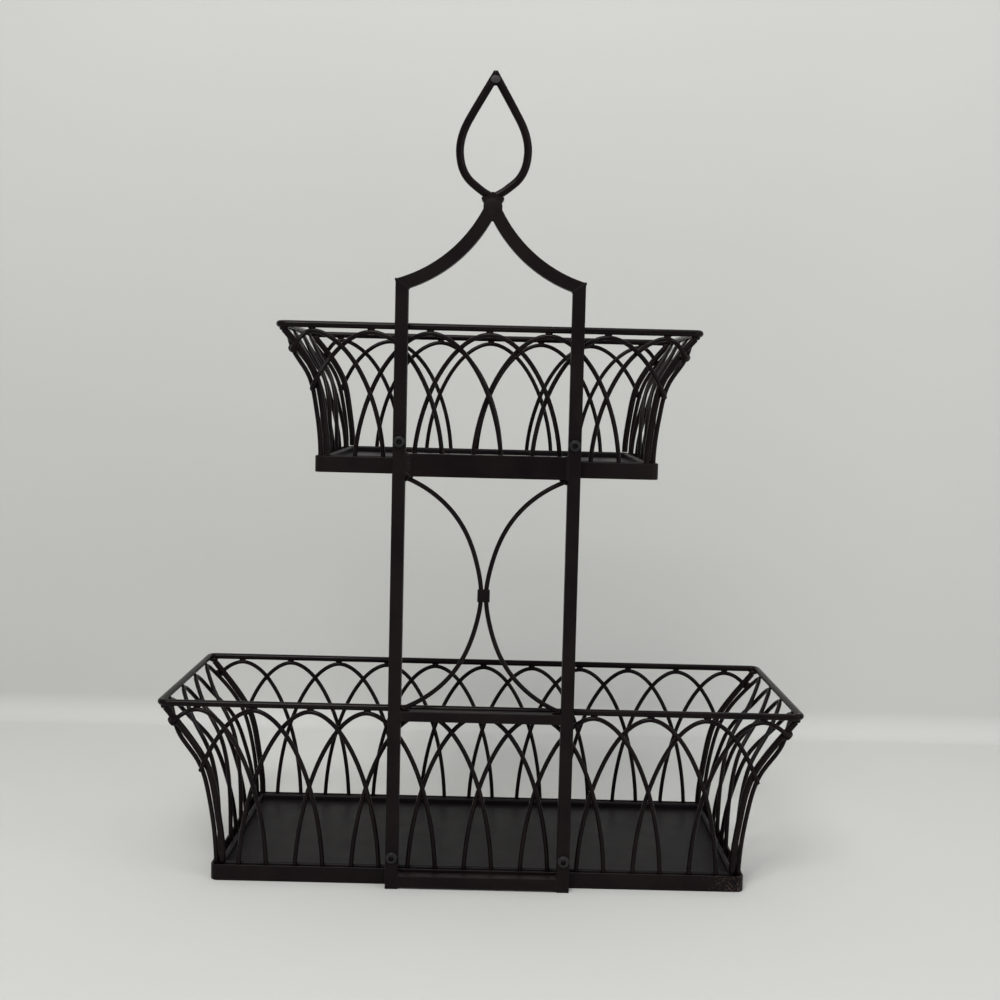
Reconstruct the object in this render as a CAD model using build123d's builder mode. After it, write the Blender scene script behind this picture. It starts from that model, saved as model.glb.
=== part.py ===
from build123d import *
from math import atan2, copysign, cos, exp, hypot, pi, sin, sqrt
import os

os.makedirs("parts", exist_ok=True)

# A two-tier basket stand: two flared baskets of bent wire, screwed to one upright frame of square bar
# Millimetres, +Z up, the frame on the -Y side, the origin at the bottom centre

# Stock
bar_size = 10.0
bar_edge_radius = 0.8
bottom_rail_height = 9.5
middle_rail_height = 8.0
upper_rail_height = 18.0
wire_diameter = 3.6
rim_diameter = 5.3
finial_diameter = 6.2
band_height = 12.7
band_thickness = 1.6
band_edge_radius = 0.6

# Air left between pieces
seat_gap = 0.3
channel_gap = 0.55
thread_gap = 0.15
cut_overrun = 5.0

# Frame
frame_width = 145.6
bottom_rail_lift = 1.2
middle_rail_top = 142.5
upper_rail_top = 344.8
eave_height = 477.6
eave_drop = 6.9
crotch_height = 524.2
ridge_height = 533.0
ridge_width = 13.2
roof_middle_across_share = 0.485
roof_middle_rise_share = 0.33
roof_middle_slope = 38.5

# Two arcs back to back between the middle and the upper rail, half an arc from its middle to its end
arc_height_shares = (0.25, 0.5, 0.68, 0.86, 1.0)
arc_across_shares = (0.055, 0.185, 0.35, 0.625, 1.0)
collar_height = 9.5
collar_wall = 0.8
collar_edge_radius = 0.4

# Finial, one half of the teardrop from its foot to its tip
finial_foot_height = 541.0
finial_tip_height = 632.4
overall_height = 635.5
finial_half_width = 25.9
finial_across_shares = (0, 0.26, 0.5, 0.69, 0.91, 0.99, 1.0, 0.84, 0.66, 0.46, 0)
finial_rise_shares = (0, 0.04, 0.09, 0.136, 0.234, 0.333, 0.382, 0.58, 0.678, 0.777, 1.0)

# Seat that holds the finial's two feet, half its outline from the middle of its foot to its peak
seat_height = 11.6
seat_half_width = 8.6
seat_across_shares = (0.767, 0.70, 1.0, 0.98, 0.56)
seat_rise_shares = (0, 0.2, 0.53, 0.64, 0.69)

# Screws
screw_above_band = 12.6
screw_diameter = 5.0
screw_head_diameter = 9.2
screw_head_height = 2.6
screw_dome_height = 1.8
screw_tip = 2.6
socket_across_flats = 4.0
socket_depth = 1.8
tab_width = 9.0
tab_height = 20.0

# Baskets
panel_depth = 190.0
band_corner_radius = 6.0
rim_corner_radius = 6.0
foot_height = 3.0
lower_band_width = 426.4
lower_rim_width = 509.6
lower_rim_height = 142.0
lower_pitch = 45.0
upper_base_height = 328.0
upper_band_width = 268.4
upper_rim_width = 327.8
upper_rim_height = 114.4
upper_pitch = 46.0
lower_corner_leg_share = 1.0
upper_corner_leg_share = 0.55

# How far the ends have swung out at each share of the height
flare_height_shares = (0, 0.1, 0.2, 0.3, 0.4, 0.5, 0.6, 0.68, 0.76, 0.84, 0.92, 1.0)
flare_shares = (0, 0.012, 0.045, 0.087, 0.133, 0.19, 0.287, 0.415, 0.582, 0.738, 0.868, 1.0)

# Arches: half the span in pitches, the roundness of the curve, where crossing legs part, how near to a
# corner post a leg swings out to pass in front of it, and how gently the ends' corner legs straighten
arch_span_share = 1.25
arch_roundness = 1.85
arch_steps = 6
bow_across_share = 0.38
bow_foot_share = 0.1
bow_full_share = 0.5
post_near = 5.0
post_away = 20.0
post_knob_share = 0.82
post_steps = 8
end_leg_bend = 6.0

# Tray
tray_lip_width = 4.0
tray_lip_above_band = 0.6
tray_floor_drop = 5.0
tray_sheet = 1.2
tray_corner_radius = 4.6
tray_lip_round = 1.9

# Places that follow from the sizes above
half_frame = frame_width / 2
inner_frame = half_frame - bar_size
wire_radius = wire_diameter / 2
rim_radius = rim_diameter / 2
band_setback = bar_size + seat_gap
band_to_wire = band_thickness + channel_gap + wire_radius
wire_setback = band_setback + band_to_wire
basket_depth = panel_depth + 2 * band_to_wire
total_depth = screw_head_height + band_setback + basket_depth
front_y = screw_head_height - total_depth / 2
bar_middle_y = front_y + bar_size / 2
wire_front_y = front_y + wire_setback
basket_middle_y = wire_front_y + panel_depth / 2
bow_depth = wire_radius + seat_gap
post_beside = rim_radius + wire_radius + channel_gap
basket_plane = Plane(origin=(0, basket_middle_y, 0), z_dir=(0, 1, 0))
frame_face = Plane(origin=(0, front_y, 0), x_dir=(1, 0, 0), z_dir=(0, -1, 0))
frame_middle = Plane(origin=(0, bar_middle_y, 0), x_dir=(1, 0, 0), z_dir=(0, -1, 0))


def save(piece, label):
    """Names a finished piece and writes it out."""
    piece.part.label = label
    export_step(piece.part, f"parts/{label}.step")


def ease(share):
    """Eases from nought to one, flat at both ends."""
    share = min(max(share, 0), 1)
    return share * share * (3 - 2 * share)


def flare(height_share):
    """The share of the flare reached at a share of the height, along a smooth curve through the table."""
    share = min(max(height_share, 0), 1)
    last = len(flare_shares) - 1
    step = next(i for i in range(last) if share <= flare_height_shares[i + 1])
    low, high = flare_height_shares[step], flare_height_shares[step + 1]

    def slope(i):
        """The slope of the curve at one entry of the table."""
        before, after = max(i - 1, 0), min(i + 1, last)
        rise = flare_shares[after] - flare_shares[before]
        return rise / (flare_height_shares[after] - flare_height_shares[before])

    t = (share - low) / (high - low)
    span = high - low
    start = (2 * t**3 - 3 * t**2 + 1) * flare_shares[step] + (t**3 - 2 * t**2 + t) * span * slope(step)
    end = (3 * t**2 - 2 * t**3) * flare_shares[step + 1] + (t**3 - t**2) * span * slope(step + 1)
    return start + end


def rod(path, radius):
    """The round section of a rod, set across the start of its path."""
    with BuildSketch(Plane(origin=path @ 0, z_dir=path % 0)) as section:
        Circle(radius)
    return section.sketch


def stop_angle(clear):
    """The angle at which an arch's leg ends: at its foot, or where it has passed a corner post."""
    low, high = 0, pi / 2
    if clear(high):
        return high
    for _ in range(30):
        middle = (low + high) / 2
        if clear(middle):
            low = middle
        else:
            high = middle
    return low


# Uprights, each mitred at the top to meet its roof bar
with BuildPart() as left_upright:
    with BuildSketch(frame_face) as upright_outline:
        with BuildLine():
            Polyline(
                (-half_frame, 0),
                (-inner_frame, 0),
                (-inner_frame, eave_height - eave_drop),
                (-half_frame, eave_height),
                close=True,
            )
        make_face()
    extrude(amount=-bar_size)
    fillet(left_upright.edges().filter_by(Axis.Z), bar_edge_radius)
    for base in (0, upper_base_height):
        hole_height = base + band_height + screw_above_band
        with Locations(Plane(origin=(-(half_frame + inner_frame) / 2, front_y, hole_height), z_dir=(0, -1, 0))):
            Hole(screw_diameter / 2 + seat_gap)
save(left_upright, "left_upright")

with BuildPart() as right_upright:
    mirror(left_upright.part, about=Plane.YZ)
save(right_upright, "right_upright")


def rail(label, top, height):
    """A straight rail between the uprights."""
    with BuildPart() as bar:
        with Locations((0, bar_middle_y, top - height / 2)):
            Box(2 * (inner_frame - seat_gap), bar_size, height)
        fillet(bar.edges().filter_by(Axis.X), bar_edge_radius)
    save(bar, label)


rail("bottom_rail", bottom_rail_lift + bottom_rail_height, bottom_rail_height)
rail("middle_rail", middle_rail_top, middle_rail_height)
rail("upper_rail", upper_rail_top, upper_rail_height)

# Roof bars, curving up from the uprights to the middle
roof_middle_outer = (
    half_frame - roof_middle_across_share * half_frame - seat_gap,
    eave_height + roof_middle_rise_share * (ridge_height - eave_height),
)
roof_middle_inner = (
    roof_middle_outer[0] - bar_size * sin(roof_middle_slope * pi / 180),
    roof_middle_outer[1] - bar_size * cos(roof_middle_slope * pi / 180),
)
with BuildPart() as right_roof_bar:
    with BuildSketch(frame_face):
        with BuildLine():
            ThreePointArc(
                (half_frame, eave_height + seat_gap),
                roof_middle_outer,
                (ridge_width / 2, ridge_height),
            )
            Line((ridge_width / 2, ridge_height), (seat_gap / 2, ridge_height))
            Line((seat_gap / 2, ridge_height), (seat_gap / 2, crotch_height))
            ThreePointArc(
                (seat_gap / 2, crotch_height),
                roof_middle_inner,
                (inner_frame, eave_height - eave_drop + seat_gap),
            )
            Line((inner_frame, eave_height - eave_drop + seat_gap), (half_frame, eave_height + seat_gap))
        make_face()
    extrude(amount=-bar_size)
    fillet(right_roof_bar.edges().filter_by(GeomType.CIRCLE), bar_edge_radius)
save(right_roof_bar, "right_roof_bar")

with BuildPart() as left_roof_bar:
    mirror(right_roof_bar.part, about=Plane.YZ)
save(left_roof_bar, "left_roof_bar")

# Arcs in the window between the middle and the upper rail
arc_low = middle_rail_top + wire_radius
arc_high = upper_rail_top - upper_rail_height - wire_radius
arc_middle = (arc_low + arc_high) / 2
arc_near = wire_radius + seat_gap / 2
arc_far = inner_frame - wire_radius
arc_points = [(arc_near, arc_middle)]
for height_share, across_share in zip(arc_height_shares, arc_across_shares):
    across = arc_near + across_share * (arc_far - arc_near)
    rise = height_share * (arc_high - arc_low) / 2
    arc_points = [(across, arc_middle - rise), *arc_points, (across, arc_middle + rise)]

with BuildPart() as right_arc:
    with BuildLine(frame_middle) as arc_line:
        Spline(*arc_points)
    sweep(rod(arc_line.wire(), wire_radius), path=arc_line.wire())
save(right_arc, "right_arc")

with BuildPart() as left_arc:
    mirror(right_arc.part, about=Plane.YZ)
save(left_arc, "left_arc")

# Collar that ties the two arcs together
collar_bore_width = 2 * wire_diameter + 3 * seat_gap
collar_bore_depth = wire_diameter + 2 * seat_gap
with BuildPart() as arc_collar:
    with Locations((0, bar_middle_y, arc_middle)):
        Box(collar_bore_width + 2 * collar_wall, collar_bore_depth + 2 * collar_wall, collar_height)
    fillet(arc_collar.edges().filter_by(Axis.Z), collar_wall)
    fillet(arc_collar.faces().sort_by(Axis.Z)[-1].edges(), collar_edge_radius)
    fillet(arc_collar.faces().sort_by(Axis.Z)[0].edges(), collar_edge_radius)
    with Locations((0, bar_middle_y, arc_middle)):
        Box(collar_bore_width, collar_bore_depth, collar_height + cut_overrun, mode=Mode.SUBTRACT)
save(arc_collar, "arc_collar")

# Finial, two bent rods that meet at the tip and at the foot
finial_points = []
for across_share, rise_share in zip(finial_across_shares, finial_rise_shares):
    finial_rise = rise_share * (finial_tip_height - finial_foot_height)
    finial_points.append((across_share * finial_half_width, finial_foot_height + finial_rise))


def past(inner, outer, length):
    """The point a length beyond the outer point, on the line from the inner one."""
    step = Vector(*outer) - Vector(*inner)
    end = Vector(*outer) + step.normalized() * length
    return (end.X, end.Y)


# The rods are drawn a little past the middle at both ends and cut there
finial_start = past(finial_points[1], finial_points[0], finial_diameter)
finial_end = past(finial_points[-2], finial_points[-1], finial_diameter)


with BuildLine(frame_middle) as finial_line:
    Spline(finial_start, *finial_points, finial_end)
finial_path = finial_line.wire()

with BuildPart() as finial_right:
    sweep(rod(finial_path, finial_diameter / 2), path=finial_path)
    split(bisect_by=Plane.YZ.offset(seat_gap / 2), keep=Keep.TOP)
    split(bisect_by=Plane.XY.offset(overall_height), keep=Keep.BOTTOM)
save(finial_right, "finial_right")

with BuildPart() as finial_left:
    mirror(finial_right.part, about=Plane.YZ)
save(finial_left, "finial_left")

# Seat on top of the roof bars, bored for the finial's feet
seat_base = ridge_height + seat_gap
seat_side = []
for across_share, rise_share in zip(seat_across_shares, seat_rise_shares):
    seat_side.append((across_share * seat_half_width, seat_base + rise_share * seat_height))
seat_outline = [(0, seat_base), *seat_side, (0, seat_base + seat_height)]
with BuildLine(frame_middle) as bore_line:
    Line(finial_start, finial_points[2])
bore_path = bore_line.wire()
with BuildPart() as finial_seat:
    with BuildSketch(frame_face):
        with BuildLine():
            Polyline(*seat_outline, close=True)
        make_face()
        mirror(about=Plane.YZ)
    extrude(amount=-bar_size)
    bore = sweep(rod(bore_path, finial_diameter / 2 + seat_gap), path=bore_path, mode=Mode.PRIVATE)
    add(bore, mode=Mode.SUBTRACT)
    mirror(bore, about=Plane.YZ, mode=Mode.SUBTRACT)
save(finial_seat, "finial_seat")


def basket(tier, base, band_width, rim_width, rim_height, pitch, corner_leg_share, front_count, end_count):
    """One basket: band, tray, rim, corner posts, four panels of arches, tabs and screws."""
    half_band = band_width / 2
    half_rim = rim_width / 2
    foot_x = half_band - band_to_wire
    rim_z = base + rim_height
    foot_z = base + foot_height
    band_top = base + band_height
    channel = band_to_wire + wire_radius + channel_gap

    def wall_x(z):
        """Where the middle of an end panel's wires lies at a height."""
        return foot_x + flare((z - band_top) / (rim_z - band_top)) * (half_rim - foot_x)

    def wall_slope(z):
        """How far an end panel's wires run out for each unit that they rise, at a height."""
        return (wall_x(z + rim_radius) - wall_x(z - rim_radius)) / rim_diameter

    lean = atan2(wall_x(rim_z) - wall_x(rim_z - rim_diameter), rim_diameter)

    with BuildPart() as band:
        with BuildSketch(Plane(origin=(0, basket_middle_y, base))):
            RectangleRounded(band_width, basket_depth, band_corner_radius)
            RectangleRounded(
                band_width - 2 * band_thickness,
                basket_depth - 2 * band_thickness,
                band_corner_radius - band_thickness,
                mode=Mode.SUBTRACT,
            )
        extrude(amount=band_height)
        fillet(band.faces().sort_by(Axis.Z)[-1].edges(), band_edge_radius)
        fillet(band.faces().sort_by(Axis.Z)[0].outer_wire().edges(), band_edge_radius)
    save(band, f"{tier}_band")

    # Tray: a flat floor with a rounded lip that keeps the wires' feet against the band
    tray_width = band_width - 2 * channel
    tray_depth = basket_depth - 2 * channel
    lip_top = band_height + tray_lip_above_band
    floor_top = lip_top - tray_floor_drop
    with BuildPart() as tray:
        with BuildSketch(Plane(origin=(0, basket_middle_y, base + floor_top - tray_sheet))):
            RectangleRounded(tray_width, tray_depth, tray_corner_radius)
        extrude(amount=tray_floor_drop + tray_sheet)
        with BuildSketch(Plane(origin=(0, basket_middle_y, base + floor_top))):
            RectangleRounded(
                tray_width - 2 * tray_lip_width,
                tray_depth - 2 * tray_lip_width,
                tray_corner_radius - tray_lip_width,
            )
        extrude(amount=tray_floor_drop + cut_overrun, mode=Mode.SUBTRACT)
        fillet(tray.faces().filter_by(Axis.Z).sort_by(Axis.Z)[-1].edges(), tray_lip_round)
    save(tray, f"{tier}_tray")

    with BuildPart() as rim:
        with BuildLine(Plane(origin=(0, basket_middle_y, rim_z))) as rim_line:
            FilletPolyline(
                (-half_rim, -panel_depth / 2),
                (half_rim, -panel_depth / 2),
                (half_rim, panel_depth / 2),
                (-half_rim, panel_depth / 2),
                radius=rim_corner_radius,
                close=True,
            )
        sweep(rod(rim_line.wire(), rim_radius), path=rim_line.wire())
    save(rim, f"{tier}_rim")

    # Corner posts, from the tray's lip up just inside the end panels to a knob, then on to the rim's corners,
    # each in a flat plane
    band_front_y = basket_middle_y - basket_depth / 2
    corner_cut = rim_corner_radius * (1 - sqrt(2) / 2)
    post_y = band_front_y + wire_radius + post_beside
    post_foot_z = base + lip_top + seat_gap
    post_top_z = rim_z - rim_radius - seat_gap - rim_radius * sin(lean)
    knob_z = band_top + post_knob_share * (rim_z - band_top)

    def post_x(z):
        """Where the middle of a corner post lies at a height."""
        turned = ease((z - knob_z) / (post_top_z - knob_z))
        return wall_x(z) - (1 - turned) * post_beside * hypot(1, wall_slope(z)) - turned * corner_cut

    post_points = []
    for step in range(post_steps + 1):
        z = post_foot_z + step / post_steps * (post_top_z - post_foot_z)
        post_points.append((post_x(z), z))
    with BuildPart() as posts:
        with BuildLine(Plane(origin=(0, post_y, 0), x_dir=(1, 0, 0), z_dir=(0, -1, 0))) as post_line:
            Spline(*post_points)
        sweep(rod(post_line.wire(), rim_radius), path=post_line.wire())
        mirror(posts.part, about=Plane.YZ)
        mirror(posts.part, about=basket_plane)
    save(posts, f"{tier}_corner_posts")

    # Arches. A leg is drawn as its distance from the apex, its height and its bow out of the panel
    half_span = arch_span_share * pitch
    apex_reach = rim_radius + wire_radius + channel_gap

    def leg(angle, rise):
        """A point on a leg: how far across, how high above the feet, and the bow at that place."""
        across = half_span * sin(angle) ** (2 / arch_roundness)
        height = rise * max(cos(angle), 0) ** (2 / arch_roundness)
        foot_share = (height / rise - bow_foot_share) / (bow_full_share - bow_foot_share)
        bow = bow_depth * ease(across / half_span / bow_across_share) * ease(foot_share)
        return across, height, bow

    def arch(left_stop, right_stop, rise, place):
        """The line of one arch, along both its legs between the two angles where they stop."""
        points = []
        for i in range(arch_steps, 0, -1):
            across, height, bow = leg(left_stop * i / arch_steps, rise)
            points.append(place(-across, height, bow))
        for i in range(arch_steps + 1):
            across, height, bow = leg(right_stop * i / arch_steps, rise)
            points.append(place(across, height, -bow))
        with BuildLine() as arch_line:
            Spline(*points)
        return arch_line.wire()

    front_rise = rim_z - apex_reach - foot_z
    with BuildPart() as front_arches:
        for index in range(front_count):
            apex_x = (index - (front_count - 1) / 2) * pitch

            def leg_x(across):
                """Where a point of the arch lies along the panel; the leg at the corner is bent tighter."""
                at_corner = index in (0, front_count - 1) and across * apex_x > 0
                return apex_x + across * (corner_leg_share if at_corner else 1)

            def clear(angle):
                """Whether the outer leg has not yet passed the corner post."""
                across, height, bow = leg(angle, front_rise)
                return abs(leg_x(copysign(across, apex_x))) < wall_x(foot_z + height)

            def front_place(across, height, bow):
                """A point of an arch: in the panel, or swung out in front of the corner post it passes."""
                x, z = leg_x(across), foot_z + height
                swing = ease((post_away - post_x(z) + abs(x)) / (post_away - post_near))
                if clear(pi / 2) or across * apex_x < 0:
                    swing = 0
                y = wire_front_y + bow
                return x, y + swing * (post_y - post_beside - y), z

            outer = stop_angle(clear)
            left_stop = outer if apex_x < 0 else pi / 2
            right_stop = outer if apex_x > 0 else pi / 2
            path = arch(left_stop, right_stop, front_rise, front_place)
            sweep(rod(path, wire_radius), path=path)
    save(front_arches, f"{tier}_front_arches")

    with BuildPart() as back_arches:
        mirror(front_arches.part, about=basket_plane)
    save(back_arches, f"{tier}_back_arches")

    # On the end panels the legs next to the corners run straight down beside the posts
    end_rise = rim_z - apex_reach * cos(lean) - foot_z
    leg_limit = basket_middle_y - post_y
    bend_start = leg_limit - end_leg_bend
    with BuildPart() as right_arches:
        for index in range(end_count):
            from_middle = (index - (end_count - 1) / 2) * pitch

            def end_place(across, height, bow):
                """A point of an arch, kept off the corner post."""
                reach = abs(from_middle + across)
                if reach > bend_start:
                    reach = leg_limit - end_leg_bend * exp((bend_start - reach) / end_leg_bend)
                    bow = 0
                y = basket_middle_y + copysign(reach, from_middle + across)
                z = foot_z + height
                return wall_x(z) - bow * hypot(1, wall_slope(z)), y, z

            path = arch(pi / 2, pi / 2, end_rise, end_place)
            sweep(rod(path, wire_radius), path=path)
    save(right_arches, f"{tier}_right_arches")

    with BuildPart() as left_arches:
        mirror(right_arches.part, about=Plane.YZ)
    save(left_arches, f"{tier}_left_arches")

    # Tabs on the band, behind the uprights, tapped for the screws
    screw_x = (half_frame + inner_frame) / 2
    screw_z = base + band_height + screw_above_band
    with BuildPart() as tabs:
        for side in (-1, 1):
            with Locations((side * screw_x, band_front_y + band_thickness / 2, base + band_height + tab_height / 2)):
                Box(tab_width, band_thickness, tab_height)
        fillet(tabs.edges().filter_by(Axis.Y).group_by(Axis.Z)[-1], tab_width / 3)
        for side in (-1, 1):
            with Locations(Plane(origin=(side * screw_x, band_front_y, screw_z), z_dir=(0, -1, 0))):
                Hole(screw_diameter / 2 + thread_gap)
    save(tabs, f"{tier}_tabs")

    # Button-head screws with a hexagon socket
    head_radius = screw_head_diameter / 2
    with BuildPart() as screws:
        for side in (-1, 1):
            head_plane = Plane(origin=(side * screw_x, front_y, screw_z), x_dir=(1, 0, 0), z_dir=(0, -1, 0))
            with BuildSketch(head_plane):
                Circle(head_radius)
            extrude(amount=screw_head_height)
            with BuildSketch(head_plane):
                Circle(screw_diameter / 2)
            extrude(amount=-(band_setback + band_thickness + screw_tip))
        fillet(screws.edges().filter_by(GeomType.CIRCLE).group_by(Axis.Y)[0], screw_dome_height)
        for side in (-1, 1):
            top_plane = Plane(
                origin=(side * screw_x, front_y - screw_head_height, screw_z), x_dir=(1, 0, 0), z_dir=(0, -1, 0)
            )
            with BuildSketch(top_plane):
                RegularPolygon(socket_across_flats / 2, 6, major_radius=False)
            extrude(amount=-socket_depth, mode=Mode.SUBTRACT)
    save(screws, f"{tier}_screws")


basket(
    "lower", 0, lower_band_width, lower_rim_width, lower_rim_height,
    lower_pitch, lower_corner_leg_share, 11, 4,
)
basket(
    "upper", upper_base_height, upper_band_width, upper_rim_width, upper_rim_height,
    upper_pitch, upper_corner_leg_share, 7, 4,
)
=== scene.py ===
"""The looks of a two-tier wire basket stand: powder coats, weld beads, screw threads, set and camera."""
import logging
import math
from dataclasses import dataclass, field
from enum import Enum
from typing import ClassVar

import bpy
from mathutils import Matrix, Vector


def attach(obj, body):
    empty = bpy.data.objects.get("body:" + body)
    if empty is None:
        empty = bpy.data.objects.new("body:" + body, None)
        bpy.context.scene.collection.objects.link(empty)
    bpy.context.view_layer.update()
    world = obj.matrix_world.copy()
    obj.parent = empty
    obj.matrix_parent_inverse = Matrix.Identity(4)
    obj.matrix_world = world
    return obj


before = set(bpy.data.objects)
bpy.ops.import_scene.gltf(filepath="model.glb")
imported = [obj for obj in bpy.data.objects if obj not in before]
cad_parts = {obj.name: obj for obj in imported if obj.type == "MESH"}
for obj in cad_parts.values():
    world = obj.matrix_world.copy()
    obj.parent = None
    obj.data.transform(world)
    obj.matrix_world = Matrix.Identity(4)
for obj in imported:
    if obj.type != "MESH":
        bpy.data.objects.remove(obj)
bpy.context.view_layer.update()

LOG = logging.getLogger("basket")
MM = 0.001
Point = tuple[float, float, float]
Colour = tuple[float, float, float]
Value = float | bpy.types.NodeSocket

# Places of the frame and the baskets, in millimetres, as the frame has them
FRONT_Y = -102.8
BAR = 10.0
BAR_MIDDLE_Y = FRONT_Y + BAR / 2
BAR_BACK_Y = FRONT_Y + BAR
HALF_FRAME = 72.8
INNER_FRAME = HALF_FRAME - BAR
WINDOW_FOOT_Z = 142.5
WINDOW_TOP_Z = 326.8
EAVE_Z = 474.2
CROTCH_Z = 524.2
RIDGE_Z = 533.0
SEAT_WING = (7.0, BAR_MIDDLE_Y, 540.0)
SEAT_PEAK = (0.0, BAR_MIDDLE_Y, 543.4)
FINIAL_TIP = (0.0, BAR_MIDDLE_Y, 631.4)
BAND_FRONT_Y = -92.5
BAND_HEIGHT = 12.7
WIRE_FRONT_Y = -88.55
WIRE_BACK_Y = 101.45
MIDDLE_Y = (WIRE_FRONT_Y + WIRE_BACK_Y) / 2
POST_FRONT_Y = -85.7
SCREW_X = 67.8

# How finely weld metal is melted, in millimetres
FINE_VOXEL = 0.28
VOXEL = 0.3
COARSE_VOXEL = 0.35
KNOB_VOXEL = 0.4

FLOAT_SOCKET = "NodeSocketFloat"


class Tier(Enum):
    """The two baskets, by the name their pieces start with."""

    LOWER = "lower"
    UPPER = "upper"


class Slot(Enum):
    """The record's material slots named for added pieces."""

    FRAME = "frame_paint"
    BAND = "band_paint"
    WIRE = "wire_paint"
    SCREW = "screw_finish"


class Finish(Enum):
    """The finishes, by the names of their materials."""

    FRAME = "frame_coat"
    LOWER_BAND = "band_coat_lower"
    UPPER_BAND = "band_coat_upper"
    TRAY = "tray_coat"
    WIRE = "wire_coat"
    WELD = "weld_coat"
    SCUFFED_WELD = "scuffed_weld"
    GROUND_WELD = "ground_weld"
    SCREW = "black_oxide"


# Shader groups


def new_group(name: str, inputs: dict[str, float], output: str) -> bpy.types.NodeTree:
    """Makes an empty shader node group.

    Args:
        name: The group's name.
        inputs: Its inputs and their values.
        output: Its one output.

    Returns:
        The group, with its input and output nodes named "in" and "out".
    """
    group = bpy.data.node_groups.new(name, "ShaderNodeTree")
    for label, value in inputs.items():
        socket = group.interface.new_socket(label, in_out="INPUT", socket_type=FLOAT_SOCKET)
        socket.default_value = value
    group.interface.new_socket(output, in_out="OUTPUT", socket_type=FLOAT_SOCKET)
    group.nodes.new("NodeGroupInput").name = "in"
    group.nodes.new("NodeGroupOutput").name = "out"
    return group


def add_node(
    tree: bpy.types.NodeTree, kind: str, inputs: dict[str | int, Value] | None = None, **settings
) -> bpy.types.Node:
    """Adds one node.

    Args:
        tree: The tree that gets the node.
        kind: The node's type.
        inputs: Values or sockets for its inputs, by name or index.
        **settings: The node's own properties.

    Returns:
        The new node.
    """
    node = tree.nodes.new(kind)
    for key, value in settings.items():
        setattr(node, key, value)
    for key, value in (inputs or {}).items():
        if isinstance(value, bpy.types.NodeSocket):
            tree.links.new(value, node.inputs[key])
        else:
            node.inputs[key].default_value = value
    return node


def object_place(tree: bpy.types.NodeTree) -> bpy.types.NodeSocket:
    """Gives the place on the object."""
    return add_node(tree, "ShaderNodeTexCoord").outputs["Object"]


def maths(
    tree: bpy.types.NodeTree, operation: str, *values: Value, clamp: bool = False
) -> bpy.types.NodeSocket:
    """Adds a Math node and gives its result."""
    inputs = dict(enumerate(values))
    return add_node(tree, "ShaderNodeMath", inputs, operation=operation, use_clamp=clamp).outputs[0]


def blend_range(tree: bpy.types.NodeTree, value: Value, low: Value, high: Value) -> bpy.types.NodeSocket:
    """Maps a value from low to high onto 0 to 1 along a smooth step."""
    inputs = {"Value": value, "From Min": low, "From Max": high, "To Min": 0.0, "To Max": 1.0}
    node = add_node(tree, "ShaderNodeMapRange", inputs, interpolation_type="SMOOTHSTEP")
    return node.outputs["Result"]


def noise(
    tree: bpy.types.NodeTree, vector: bpy.types.NodeSocket, scale: Value, detail: float, rough: float
) -> bpy.types.NodeSocket:
    """Adds a noise texture of so many cells per metre and gives its factor."""
    inputs = {"Vector": vector, "Scale": scale, "Detail": detail, "Roughness": rough}
    return add_node(tree, "ShaderNodeTexNoise", inputs).outputs[0]


def mix_colours(
    tree: bpy.types.NodeTree,
    under: bpy.types.NodeSocket | Colour,
    over: Colour,
    mask: bpy.types.NodeSocket,
) -> bpy.types.NodeSocket:
    """Lays one colour over another by a mask."""
    node = add_node(tree, "ShaderNodeMix", data_type="RGBA")
    tree.links.new(mask, node.inputs["Factor"])
    if isinstance(under, bpy.types.NodeSocket):
        tree.links.new(under, node.inputs["A"])
    else:
        node.inputs["A"].default_value = (*under, 1.0)
    node.inputs["B"].default_value = (*over, 1.0)
    return node.outputs["Result"]


def place_group(
    tree: bpy.types.NodeTree, group: bpy.types.NodeTree, **values: float
) -> bpy.types.NodeSocket:
    """Places a shared group in a material and gives its output."""
    return add_node(tree, "ShaderNodeGroup", values, node_tree=group).outputs[0]


def peel_group() -> bpy.types.NodeTree:
    """Powder coat's relief: orange peel, fine grit and a few sags.

    Returns:
        A group with the inputs Peel, Grit and Size and the output Height.
    """
    peel_scale, grit_scale, sag_scale = 620.0, 2600.0, 95.0
    sag_height = 0.6
    tree = new_group("coat_relief", {"Peel": 1.0, "Grit": 0.3, "Size": 1.0}, "Height")
    given = tree.nodes["in"].outputs
    place = object_place(tree)
    peel = noise(tree, place, maths(tree, "MULTIPLY", given["Size"], peel_scale), detail=2.0, rough=0.45)
    grit = noise(tree, place, maths(tree, "MULTIPLY", given["Size"], grit_scale), detail=1.0, rough=0.6)
    sags = noise(tree, place, maths(tree, "MULTIPLY", given["Size"], sag_scale), detail=1.0, rough=0.4)
    height = maths(tree, "MULTIPLY", peel, given["Peel"])
    height = maths(tree, "MULTIPLY_ADD", grit, given["Grit"], height)
    height = maths(tree, "MULTIPLY_ADD", sags, sag_height, height)
    tree.links.new(height, tree.nodes["out"].inputs["Height"])
    return tree


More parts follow.
